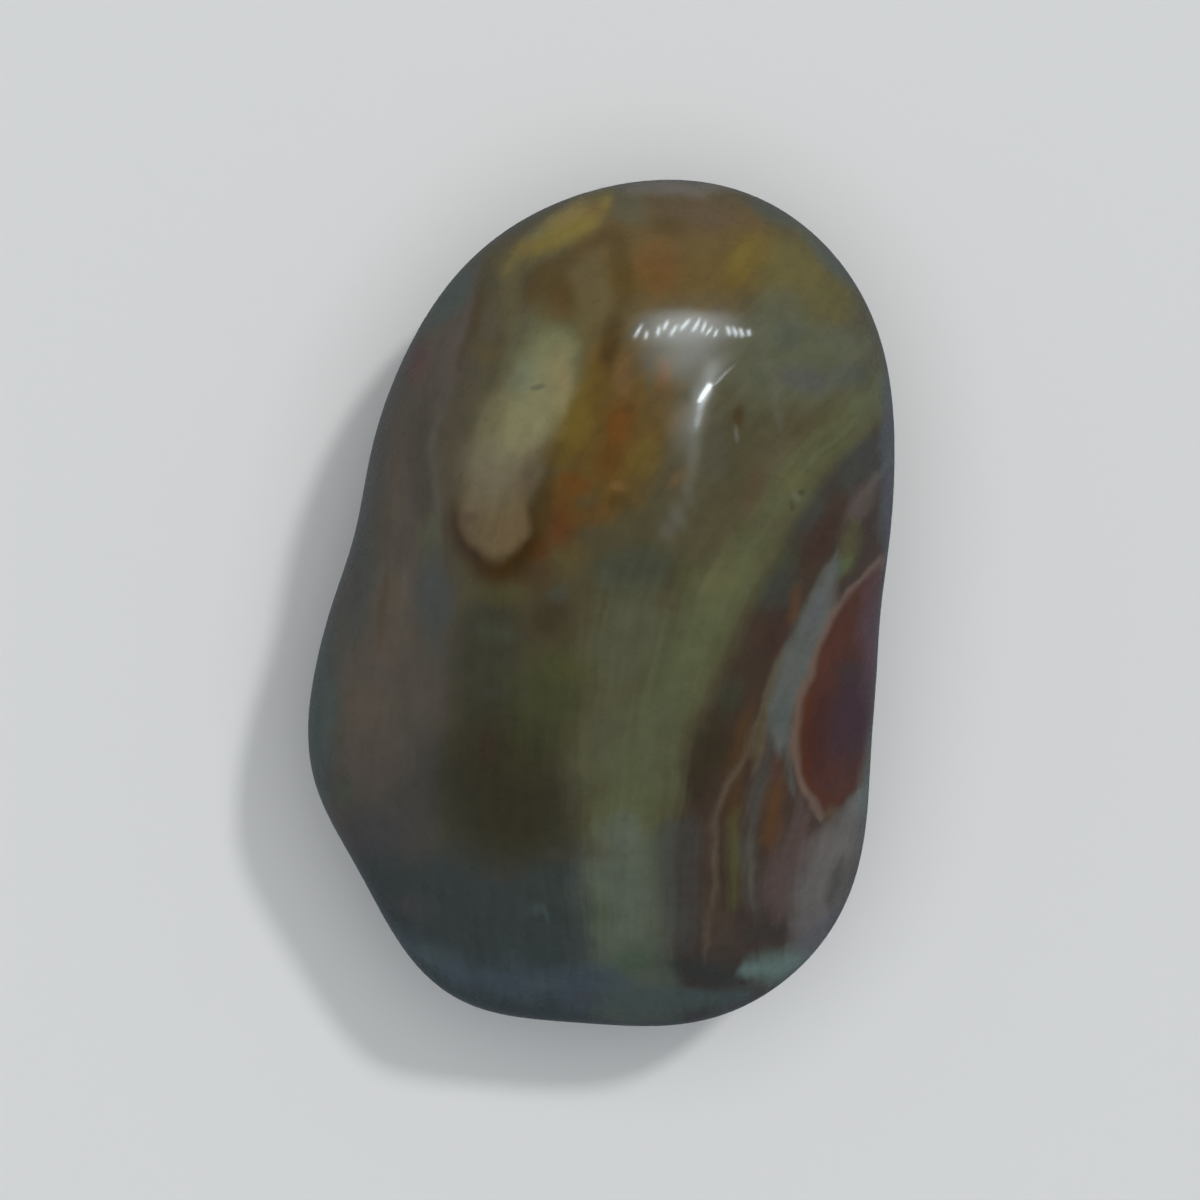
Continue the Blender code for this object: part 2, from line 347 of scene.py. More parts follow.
BANDS = (
    (
        "stream", "stream green", 0.9, 5.6, "y",
        ((-46, 4, 4), (-36, 3.5, 3.9), (-28, 4.0, 4.0), (-20, 6.0, 3.7), (-12, 9.4, 3.6),
         (-5, 11.9, 4.0), (2, 15.2, 3.8), (8, 19.3, 2.9), (14.5, 23.8, 2.1), (18, 26.5, 2.2),
         (24, 32.2, 2.3)),
        (("stream yellow", 0.5, (15, 3.6), (2.6, 3.2), -20, 0.8),
         ("stream yellow", 0.6, (14.6, 7.4), (2.4, 1.3), 0, 0.8),
         ("tan olive", 0.6, (20.6, 9.4), (2.8, 1.3), 30, 0.8),
         ("stream yellow", 0.6, (24, 15), (2, 1.4), 40, 0.9),
         ("grey olive", 0.6, (8, -18), (3.6, 8), -10, 0.9)),
    ),
    (
        "foot of the stream", "grey green", 0.95, 6.4, "y",
        ((-52, 4.4, 4), (-46, 4.2, 4.6), (-40, 3.4, 4.8), (-34, 3.2, 4.6), (-30, 3.2, 3.4),
         (-27, 3.2, 1), (-24, 4, -3)),
        (("leaf green", 0.7, (4.6, -44.4), (3.2, 2.2), 0, 0.8),
         ("leaf green", 0.3, (0.6, -38.6), (1.6, 3), 0, 0.8)),
    ),
    (
        "slate edge", "cool grey", 0.5, 3.4, "y",
        ((-47, -2.4, -0.6), (-44, -2.6, 1.2), (-38, -3.0, 1.0), (-33, -3.2, 0.8), (-31, -3.2, -0.6)),
        (),
    ),
    (
        "plum seam", "plum brown", 0.4, 2.4, "x",
        ((-8, -31, -0.6), (-4, -31, 0.6), (1, -31, 0.6), (5, -31, -0.6)),
        (),
    ),
    (
        # Painted reflection of the cool studio on the sloping foot; its pale teal zones are brighter
        # painted reflection, its slate purple zone is the stone's colour.
        "slate blue band", "blue slate", 0.85, 4.0, "x",
        ((-27, -41, 0.6), (-22, -44, 1.6), (-14, -46.4, 1.9), (-8, -47.4, 1.8), (-2, -47.6, 2.6),
         (1.6, -47, 1.6), (5, -47, -1)),
        (("teal pale", 0.22, (-21, -44), (1.8, 1.6), 0, 0.9),
         ("teal pale", 0.14, (-7, -46.8), (2.6, 1.1), 0, 0.9),
         ("slate purple", 0.6, (-1, -48.6), (2.6, 0.7), 0, 0.8)),
    ),
    (
        "teal foot", "teal", 0.9, 2.6, "x",
        ((-2, -50, -0.8), (2, -49.4, 1.2), (8, -49.2, 1.7), (14, -49, 1.6), (18, -48.4, 1.0),
         (20, -48, -0.6)),
        (),
    ),
    (
        "foot edge", "slate", 0.8, 2.4, "x",
        ((-20, -49.4, 0.5), (-10, -51, 1.1), (0, -52.2, 1.2), (8, -52.4, 1.0), (14, -51.6, -1)),
        (),
    ),
    (
        "blue-grey strip", "cool grey", 0.85, 3.4, "y",
        ((-44, 8.8, -1), (-40, 8.8, 0.8), (-33, 8.4, 1.4), (-28, 8.4, 1.4), (-26, 8.6, -0.8)),
        (),
    ),
    (
        "grey-plum strip", "grey plum", 0.9, 3.0, "y",
        ((-44.4, 11, -1), (-42, 11, 1.2), (-35, 11, 1.5), (-28, 11.2, 1.4), (-25, 11.6, -0.8)),
        (),
    ),
    (
        "foot shadow", "dark slate", 0.85, 3.6, "x",
        ((7.6, -44.6, -1), (10, -44.8, 1.4), (13, -45.6, 1.6), (17, -46, 1.3), (19, -46, -1)),
        (),
    ),
    (
        "brown foot", "brown plum", 0.85, 2.8, "y",
        ((-44.6, 15, -1), (-42.6, 15, 1.8), (-39, 14.8, 2.0), (-35, 13.6, 0.9), (-28, 13.4, 0.7),
         (-24, 13.6, -1)),
        (("dark brown", 0.6, (15.4, -42.8), (1.6, 0.8), 0, 0.9),),
    ),
    (
        "olive-ochre strip", "olive yellow", 0.85, 2.0, "y",
        ((-38.4, 16.6, -0.5), (-36, 16.6, 0.9), (-30, 16.6, 0.8), (-26, 16.8, 0.4), (-24, 17, -0.5)),
        (),
    ),
    (
        "grey strip", "blue grey", 0.6, 2.6, "y",
        ((-41, 18.9, -0.8), (-37, 18.8, 0.5), (-30, 18.5, 0.7), (-24, 19.5, 0.7), (-19, 20.6, 0.4),
         (-16, 21, -0.5)),
        (("pale line", 0.5, (18.8, -31), (0.5, 6), 0, 0.8),
         ("mauve pink", 0.5, (18.6, -38.6), (1.4, 1), 0, 0.8)),
    ),
    (
        "rust strip", "orange rust", 0.8, 2.2, "y",
        ((-31, 20.8, -0.6), (-28, 21.1, 1.2), (-24.4, 21.6, 1.0), (-21.4, 22.2, 0.5),
         (-19.6, 22.4, -0.5)),
        (),
    ),
    (
        "mauve strip", "mauve pink", 0.9, 3.0, "y",
        ((-40.6, 22, -0.6), (-37, 22.4, 1.8), (-32, 23.2, 2.2), (-28.4, 24.4, 1.7), (-25, 25, 1.0),
         (-22, 24.2, -0.5)),
        (),
    ),
    (
        "pink strip", "rose", 0.7, 1.8, "y",
        ((-22.4, 22.4, -0.5), (-20.8, 22.2, 0.9), (-19, 22.2, 0.8), (-17.6, 22.4, -0.5)),
        (),
    ),
    (
        "lilac grey corner", "mauve grey", 0.95, 3.6, "y",
        ((-46, 26, 2), (-42, 26.6, 2.6), (-36, 27.4, 3.2), (-31, 29, 3.2), (-27, 30.6, 2.2),
         (-24, 32.6, 1.4), (-21, 34, -0.6)),
        (),
    ),
    (
        "grey seam", "dark slate", 0.5, 2.0, "x",
        ((17, -41, -0.5), (18.6, -41, 0.8), (22.6, -40.8, 0.8), (24, -40.6, -0.5)),
        (),
    ),
    (
        "pale streak", "grey mauve", 0.7, 1.3, "y",
        ((-38, 27.4, -0.4), (-36, 27.4, 0.45), (-33, 27.9, 0.45), (-30, 29.6, 0.4),
         (-28.4, 30.6, -0.4)),
        (),
    ),
    (
        "dark streak", "charcoal", 0.7, 1.8, "y",
        ((-38.4, 28.6, -0.4), (-36.4, 28.9, 0.5), (-33.4, 29.8, 0.7), (-31, 30.6, -0.4)),
        (),
    ),
    (
        # Painted reflection of the cool studio on the lower right rim
        "teal edge", "teal pale", 0.9, 3.0, "x",
        ((16.6, -45.8, -0.8), (18.4, -45, 1.4), (21, -45, 1.9), (24, -44.2, 1.5),
         (27, -42.4, -0.6)),
        (),
    ),
    (
        "lilac edge", "lilac", 0.7, 2.4, "x",
        ((23.4, -43.4, -0.6), (26.4, -41.4, 1.2), (29, -39.4, 1.2), (31, -38, 0.6)),
        (),
    ),
    (
        "tan line", "tan mauve", 0.8, 1.1, "y",
        ((-45, 13.4, -0.3), (-42, 13.4, 0.3), (-36, 13.9, 0.34), (-31, 14.1, 0.4), (-27, 14.2, 0.36),
         (-23, 15.4, 0.3), (-19, 17.6, 0.34), (-14, 19.4, 0.34), (-10, 20.8, 0.3),
         (-6, 22.2, -0.3)),
        (),
    ),
    (
        "second tan line", "tan mauve", 0.7, 1.1, "y",
        ((-22, 18.8, -0.3), (-20, 19.2, 0.34), (-17, 20, 0.4), (-13, 20.8, 0.34), (-10, 21.8, -0.3)),
        (),
    ),
    (
        "olive margin", "tan olive", 0.7, 1.6, "y",
        ((-20, 18.6, -0.5), (-17, 19.4, 0.4), (-12, 20.8, 0.6), (-7, 22.4, 0.5), (-3, 24, -0.4)),
        (),
    ),
    (
        "rust sliver", "orange rust", 0.7, 1.6, "y",
        ((-3.4, 23.4, -0.5), (-1, 23.8, 0.6), (1.6, 24.2, 0.5), (3.4, 24.8, -0.5)),
        (),
    ),
    (
        "pink-grey sliver", "pink grey", 0.85, 2.2, "y",
        ((8.4, 30.6, -0.6), (10.8, 31.6, 0.9), (13, 32.7, 1.1), (15.4, 34.2, 0.8), (17.4, 35.6, 0.5)),
        (),
    ),
    (
        "olive-yellow sliver", "olive yellow", 0.9, 2.2, "y",
        ((1.4, 28.8, -0.8), (4, 30, 1.1), (7, 31, 1.5), (9.6, 31.4, 1.0), (11.6, 31.6, -0.6)),
        (("leaf green", 0.9, (29.4, 4.4), (1.4, 1.2), 0, 0.7),
         ("leaf yellow", 0.7, (31, 5), (0.9, 1.2), 0, 0.8)),
    ),
    (
        "pale ribbon", "ribbon", 0.97, 2.0, "y",
        ((-20, 22.4, -0.8), (-17, 22.6, 1.0), (-14, 22.5, 1.6), (-10, 23.6, 2.0), (-5, 25.2, 2.1),
         (0, 27.3, 2.0), (3.4, 28.4, 1.2), (6, 29, 0.3), (8, 29.6, -0.8)),
        (("teal", 0.4, (22.6, -13.6), (1.0, 2.4), 0, 0.8),
         ("lilac", 0.45, (26.6, -1), (1.0, 3), -24, 0.8),
         ("pink grey", 0.6, (29.2, 1.2), (0.9, 2.2), -30, 0.8)),
    ),
    (
        "pale stem", "ribbon", 0.7, 1.4, "y",
        ((-25, 24.4, -0.4), (-22, 23.8, 0.3), (-18, 23.6, 0.4), (-14, 23.6, -0.3)),
        (),
    ),
    (
        "teardrop outline", "outline", 0.97, 0.9, "y",
        ((-27.4, 27.4, -0.6), (-26.2, 27.4, 0.7), (-24, 27.6, 2.1), (-21, 28.6, 4.3), (-17, 29.7, 5.9),
         (-12, 30.4, 6.2), (-8, 31.4, 5.9), (-5, 32.6, 5.8), (-2, 34, 5.7), (0, 35.2, 5.7),
         (3, 37.4, 5.2), (7, 40, 4)),
        (),
    ),
    (
        "teardrop", "orange red", 0.97, 1.2, "y",
        ((-27.4, 28.4, -0.6), (-26.2, 28.4, 0.5), (-24, 28.7, 2.1), (-21, 29.5, 4.2), (-17, 30.6, 5.7),
         (-12, 31.2, 6), (-8, 32.1, 5.7), (-5, 33.3, 5.7), (-2, 34.8, 5.6), (0, 35.9, 5.6),
         (3, 38.2, 5.2), (7, 41, 4)),
        (("dark red", 0.9, (27.4, -15.6), (1.4, 6.0), -2, 0.8),
         ("purple", 0.97, (31.2, -13.0), (3.0, 7.4), -6, 0.7),
         ("dull purple", 0.7, (31, -8.4), (1.7, 1.7), 0, 0.8),
         ("red", 0.8, (28.8, -22.2), (2.4, 1.2), -16, 0.8),
         ("brick", 0.9, (30, -4), (2.0, 2.4), -20, 0.8),
         ("tan olive", 0.5, (28.8, -26), (1.3, 1.2), 0, 0.8),
         ("magenta", 0.85, (34, -3.6), (1.8, 8), -3, 0.8)),
    ),
    (
        # Painted reflection of the cool studio on the right rim
        "pale right edge", "teal pale", 0.55, 2.6, "y",
        ((-29, 33, 0.4), (-25, 33.4, 1.2), (-20, 33.8, 0.9), (-14, 34.6, 0.5), (-8, 35, -0.4)),
        (),
    ),
    (
        # Painted reflection of the cool studio along the right rim
        "cool right edge", "rim blue", 0.7, 1.7, "y",
        ((4, 36, -0.6), (8, 35.8, 0.9), (14, 35.9, 1.1), (20, 36.1, 1.2), (27, 36, 0.8),
         (33, 35, -0.4)),
        (),
    ),
    (
        "pink left line", "pink grey", 0.7, 1.1, "y",
        ((31, -18.2, -0.3), (33, -17.2, 0.4), (36, -16.2, 0.4), (40, -15.6, 0.4), (43, -14.9, -0.3)),
        (),
    ),
    (
        "dark left line", "brown", 0.6, 1.4, "y",
        ((28, -17.6, -0.3), (30, -17, 0.3), (34, -15.6, 0.5), (38, -14.8, 0.45), (42, -14, -0.3)),
        (),
    ),
    (
        "dark left strip", "plum shade", 0.7, 1.8, "y",
        ((8, -22, -0.6), (12, -22, 1.1), (18, -22.2, 1.3), (23, -21.8, 1.0), (27, -21, -0.5)),
        (),
    ),
    (
        "olive left strip", "tan olive brown", 0.95, 1.2, "y",
        ((9, -18.4, -0.5), (12, -18.4, 1.0), (18, -18.5, 1.3), (23, -17.9, 1.2), (27, -16.8, 0.9),
         (31, -16, -0.5)),
        (),
    ),
    (
        "brown left line", "brown", 0.4, 1.2, "y",
        ((1, -18.4, -0.4), (4, -18.8, 0.4), (8, -19, 0.4), (11, -19, -0.4)),
        (),
    ),
    (
        "fine brown line", "brown", 0.35, 1.0, "y",
        ((-7, -27, -0.3), (-4, -27, 0.35), (2, -26.6, 0.4), (6, -26.4, -0.3)),
        (),
    ),
    (
        "fine pale line", "pale line", 0.3, 1.0, "y",
        ((-4, -24.4, -0.3), (-1, -24.4, 0.4), (3, -24.2, 0.4), (6, -24, -0.3)),
        (),
    ),
    (
        "lilac left line", "pale line", 0.3, 1.3, "y",
        ((10, -20.2, -0.3), (13, -20.2, 0.35), (18, -20.6, 0.4), (22, -20.2, 0.3), (25, -19.6, -0.3)),
        (),
    ),
    (
        "grey line", "pale line", 0.45, 1.5, "y",
        ((20.6, 22.4, -0.3), (23, 22.1, 0.6), (26, 21.8, 0.5), (30, 21, 0.4), (33, 20.4, -0.3)),
        (),
    ),
    (
        "yellow streak", "lemon ochre", 0.95, 3.4, "x",
        ((-12, 41, -0.9), (-10.6, 42.4, 0.9), (-8.6, 44, 2.1), (-6, 45.7, 2.6), (-3, 47.5, 2.5),
         (-0.4, 49, 2.1), (1.2, 50, 1.0), (2.4, 50.6, -0.9)),
        (("green cream", 0.6, (-7.6, 46.6), (2.2, 1.4), 35, 0.9),
         ("straw", 0.8, (-4, 48.4), (3.4, 1.3), 28, 0.8),
         ("orange tan", 0.6, (-0.6, 49), (1.4, 1.4), 30, 0.9),
         ("orange tan", 0.4, (-8.6, 44.4), (1.4, 1.2), 30, 0.9),
         ("straw olive", 0.8, (-9.6, 42.2), (2.0, 1.6), 40, 0.9)),
    ),
    (
        "brown under the streak", "head brown", 0.85, 2.4, "x",
        ((-9.4, 38.6, -0.6), (-7, 40.4, 1.0), (-4, 42.4, 1.1), (-1.4, 44.3, 1.0), (1.4, 45.4, 1.0),
         (3.6, 45.4, -0.6)),
        (),
    ),
)

# The pale lens in its dark rim, and the small single marks: the same form as ZONES, laid last
LENS_AND_MARKS = (
    ("umber", 0.97, (-12.7, 9.0), (6.0, 6.7), 0, 0.35),
    ("brown", 0.7, (-6.8, 12.2), (1.4, 3.6), -14, 0.8),
    ("lens tan", 0.98, (-12.7, 12.0), (4.5, 6.4), 0, 0.3),
    ("lens tan", 0.9, (-12.7, 9.6), (4.0, 3.9), 0, 0.4),
    ("lens grey", 0.95, (-11.6, 19.2), (4.8, 8.0), -20, 0.6),
    ("green cream", 0.95, (-6.8, 29.4), (4.2, 6.2), -8, 0.8),
    ("cream", 0.95, (-9.6, 22.8), (4.5, 5.0), -28, 0.9),
    ("cream", 0.9, (-6.4, 27.4), (2.8, 4.2), -10, 0.9),
    ("lens mauve", 0.7, (-8.8, 15.4), (1.8, 3.2), -22, 0.9),
    ("bright tan", 0.85, (-4.8, 28.2), (1.2, 4.4), 0, 0.8),
    ("cool cream", 0.7, (-9.4, 28.2), (1.6, 2.8), -10, 0.9),
    ("straw olive", 0.4, (-13.4, 22.6), (1.6, 2.6), -20, 0.9),
    ("green cream", 0.5, (-4.4, 31.6), (1.8, 2.4), 0, 0.9),
    ("brown", 0.4, (-5.6, 18.4), (1.6, 1.8), -20, 0.9),
    ("rose tan", 0.7, (-16.0, 10.4), (1.0, 0.9), 0, 0.8),
    ("charcoal", 0.45, (-7.8, 26.8), (1.0, 0.4), 12, 0.8),
    ("brown", 0.7, (17.1, 23.4), (0.7, 1.3), 0, 0.8),
    ("pale line", 0.8, (16.9, 21.0), (0.4, 1.2), 4, 0.8),
    ("dark olive", 0.6, (25.1, 13.6), (0.5, 0.4), 20, 0.8),
    ("pale line", 0.6, (24.2, 12.8), (0.6, 0.7), 0, 0.8),
    ("dark olive", 0.5, (23.4, 11.6), (0.3, 0.7), 0, 0.8),
    # faint painted reflections of the cool studio on the sloping foot
    ("teal pale", 0.13, (-8.2, -37.8), (1.2, 0.9), 30, 0.9),
    ("teal pale", 0.16, (-7.0, -38.4), (0.4, 1.2), 20, 0.9),
    ("charcoal", 0.5, (-17.1, 29.8), (0.4, 0.6), 0, 0.8),
)

# How far the markings drift sideways along their flow, as points of (y, drift)
LEFT_FLOW = ((-58, 4), (-36, 1.5), (-20, -0.5), (-5, 0), (8, -0.4), (18, 0.8), (28, 3.6), (40, 6.2),
             (58, 10))
RIGHT_FLOW = ((-58, -9), (-36, -11), (-20, -7), (-5, -2.4), (8, 4.6), (14.5, 8.8), (24, 17), (40, 28),
              (58, 34))
# The drift changes from the left flow's to the right flow's between these places across.
FLOW_CHANGE = (-20.0, 28.0)


# How far past a zone's own edge its mask still reaches, as a share of its size
ZONE_MARGIN = 0.5
# At softness 1, a zone's fade starts this far outside its edge and takes this much in all, as
# shares of its half sizes.
FADE_OUTSIDE = 0.6
FADE_IN_ALL = 1.5


def zone_reach(softness):
    """How far out a zone's oval is drawn, as a share of the zone's half sizes."""
    return 1.0 + ZONE_MARGIN + softness * FADE_OUTSIDE


def zone_fades(tree, unrest, zones):
    """For each softness of zone, the oval's values where its restless edge starts and ends."""
    return {
        softness: [
            add(
                tree,
                "ShaderNodeMath",
                {0: unrest, 1: -1.0 / zone_reach(softness), 2: place / zone_reach(softness)},
                operation="MULTIPLY_ADD",
            ).outputs[0]
            for place in (ZONE_MARGIN, ZONE_MARGIN + softness * FADE_IN_ALL)
        ]
        for softness in sorted({zone[-1] for zone in zones})
    }


def zone_mask(tree, spot, fades, middle, half_sizes, turn, softness, strength):
    """1 in the middle of an oval zone, fading to 0 at its restless edge."""
    reach = zone_reach(softness)
    placed = add(
        tree,
        "ShaderNodeMapping",
        {
            "Vector": spot,
            "Location": (*middle, 0.0),
            "Rotation": (0.0, 0.0, math.radians(turn)),
            "Scale": (half_sizes[0] * reach, half_sizes[1] * reach, 1.0),
        },
        vector_type="TEXTURE",
    ).outputs[0]
    oval = add(
        tree, "ShaderNodeTexGradient", {"Vector": placed}, gradient_type="SPHERICAL"
    ).outputs["Fac"]
    edge_start, edge_end = fades[softness]
    fade = add(
        tree,
        "ShaderNodeMapRange",
        {
            "Value": oval,
            "From Min": edge_start,
            "From Max": edge_end,
            "To Min": 0.0,
            "To Max": strength,
        },
        interpolation_type="SMOOTHSTEP",
    )
    return fade.outputs[0]


# A band's curves are read in one unit square, which spans this much of the stone.
SPAN = 120.0
HALF_SPAN = SPAN / 2.0
# Half widths are stored raised by this much, because a curve holds nothing under zero.
WIDTH_RAISE = 5.0


def drawn_line(tree, along, points):
    """A smooth line through points of (place along, value), both as shares of the span."""
    line = add(tree, "ShaderNodeFloatCurve", {"Value": along})
    curve = line.mapping.curves[0]
    spots = [((HALF_SPAN + place) / SPAN, value / SPAN) for place, value in points]
    curve.points[0].location = spots[0]
    curve.points[1].location = spots[-1]
    for spot in spots[1:-1]:
        curve.points.new(*spot)
    for point in curve.points:
        point.handle_type = "AUTO_CLAMPED"
    line.mapping.update()
    return line.outputs[0]


def band_mask(tree, along, across, unrest, points, softness, strength):
    """1 along the middle of a band, fading to 0 over its restless edges."""
    middle = drawn_line(tree, along, [(place, HALF_SPAN + side) for place, side, _ in points])
    width = drawn_line(tree, along, [(place, WIDTH_RAISE + half) for place, _, half in points])
    aside = add(tree, "ShaderNodeMath", {0: across, 1: middle}, operation="SUBTRACT").outputs[0]
    away = add(tree, "ShaderNodeMath", {0: aside}, operation="ABSOLUTE").outputs[0]
    inside = add(tree, "ShaderNodeMath", {0: width, 1: away}, operation="SUBTRACT").outputs[0]
    # Soft edges fray more than sharp ones do.
    frayed = add(
        tree,
        "ShaderNodeMath",
        {0: unrest, 1: softness / SPAN, 2: inside},
        operation="MULTIPLY_ADD",
    ).outputs[0]
    fade = add(
        tree,
        "ShaderNodeMapRange",
        {
            "Value": frayed,
            "From Min": (WIDTH_RAISE - softness / 2.0) / SPAN,
            "From Max": (WIDTH_RAISE + softness / 2.0) / SPAN,
            "To Min": 0.0,
            "To Max": strength,
        },
        interpolation_type="SMOOTHSTEP",
    )
    return fade.outputs[0]


def laid_over(tree, label, colour, mask, upper):
    """The upper colour where the mask is 1, and the colour under it where it is 0."""
    feeds = {0: mask, 6: colour, 7: upper}
    return add(tree, "ShaderNodeMix", feeds, data_type="RGBA", label=label).outputs[2]


def with_zones(tree, colour, spot, fades, zones):
    """The colour with oval zones laid over it."""
    for name, strength, middle, half_sizes, turn, softness in zones:
        mask = zone_mask(tree, spot, fades, middle, half_sizes, turn, softness, strength)
        colour = laid_over(tree, name, colour, mask, stone_and_reflection_colour(name))
    return colour


def with_bands(tree, colour, shares, spot, unrest, fades, bands):
    """The colour with bands laid over it, each with its own zones."""
    for label, name, strength, softness, axis, points, inner_zones in bands:
        along, across = (shares["y"], shares["x"]) if axis == "y" else (shares["x"], shares["y"])
        band = band_mask(tree, along, across, unrest, points, softness, strength)
        filling = with_zones(tree, stone_and_reflection_colour(name), spot, fades, inner_zones)
        colour = laid_over(tree, label, colour, band, filling)
    return colour


# How the plan of markings wanders: over about how many millimetres, and how far
SIDE_WANDER = (13.0, 11.0)
BROAD_WANDER = (13.0, 0.9)
FINE_WANDER = (3.6, 0.5)
# The wander of the sides grows from the first of these heights down to the second.
SIDE_WANDER_HEIGHTS = (GIRDLE_HEIGHT + 8.0, 2.0)


def wandering(tree, place, scale_mm, reach_mm):
    """A push of up to reach_mm that wanders over about scale_mm."""
    noise = add(
        tree,
        "ShaderNodeTexNoise",
        {"Vector": place, "Scale": 1.0 / scale_mm, "Detail": 1.0, "Roughness": 0.5},
    ).outputs["Color"]
    return add(
        tree,
        "ShaderNodeVectorMath",
        {0: noise, 1: (2.0 * reach_mm,) * 3, 2: (-reach_mm,) * 3},
        operation="MULTIPLY_ADD",
    ).outputs[0]


def laid_out(tree, place):
    """The spot of each point on the plan of markings. The plan wanders a little on the dome,
    and more and more down the sides, so that no side or underside repeats the top."""
    height = add(tree, "ShaderNodeSeparateXYZ", {0: place}).outputs["Z"]
    opening = add(
        tree,
        "ShaderNodeMapRange",
        {"Value": height, "From Min": GIRDLE_HEIGHT, "From Max": CROWN_HEIGHT, "To Min": 1.0,
         "To Max": CROWN_OPENING},
    ).outputs[0]
    opened = add(
        tree, "ShaderNodeVectorMath", {0: place, "Scale": opening}, operation="SCALE"
    ).outputs[0]
    side_top, side_foot = SIDE_WANDER_HEIGHTS
    depth = add(
        tree,
        "ShaderNodeMapRange",
        {"Value": height, "From Min": side_top, "From Max": side_foot, "To Min": 0.0,
         "To Max": 1.0},
        interpolation_type="SMOOTHSTEP",
    ).outputs[0]
    side_push = add(
        tree, "ShaderNodeVectorMath", {0: wandering(tree, place, *SIDE_WANDER), "Scale": depth},
        operation="SCALE",
    ).outputs[0]
    broad_push = wandering(tree, place, *BROAD_WANDER)
    fine_push = wandering(tree, place, *FINE_WANDER)
    for push in (side_push, broad_push, fine_push):
        opened = add(
            tree, "ShaderNodeVectorMath", {0: opened, 1: push}, operation="ADD"
        ).outputs[0]
    return opened


def flow_across(tree, x, share_y):
    """The place across the flow of the markings, in millimetres."""
    left = drawn_line(tree, share_y, [(y, HALF_SPAN + drift) for y, drift in LEFT_FLOW])
    right = drawn_line(tree, share_y, [(y, HALF_SPAN + drift) for y, drift in RIGHT_FLOW])
    change = add(
        tree,
        "ShaderNodeMapRange",
        {"Value": x, "From Min": FLOW_CHANGE[0], "From Max": FLOW_CHANGE[1], "To Min": 0.0,
         "To Max": 1.0},
        interpolation_type="SMOOTHSTEP",
    ).outputs[0]
    drift = add(tree, "ShaderNodeMix", {0: change, 2: left, 3: right}, data_type="FLOAT").outputs[0]
    return add(
        tree, "ShaderNodeMath", {0: drift, 1: -SPAN, 2: x}, operation="MULTIPLY_ADD"
    ).outputs[0]


# The sizes of the patterns in millimetres. Streaks have one size across the flow, one along it
# and one in depth.
STREAK_SIZES = (1.1, 12.0, 8.0)
CLOUD_SIZE = 5.0
MOTTLING_SIZE = 2.6
GRAIN_SIZE = 0.6
# A noise's middle, and the range that it mostly stays in
NOISE_MIDDLE = 0.5
NOISE_RANGE = (0.3, 0.7)
# How far the edges fray, and how much the streaks share in it
UNREST = 0.6
CALM_UNREST = 0.3
STREAKS_IN_UNREST = 0.7
# How much each pattern makes the colours lighter and darker
STREAK_SHADE = 0.34
MOTTLING_SHADE = 0.34
GRAIN_SHADE = 0.18
CLOUD_SHADE = 0.14
# The roughness where the mottling is dark and where it is pale
ROUGHNESS_RANGE = (0.25, 0.31)
# How deep the mottling can be felt, in millimetres
RELIEF_DEPTH = 0.004


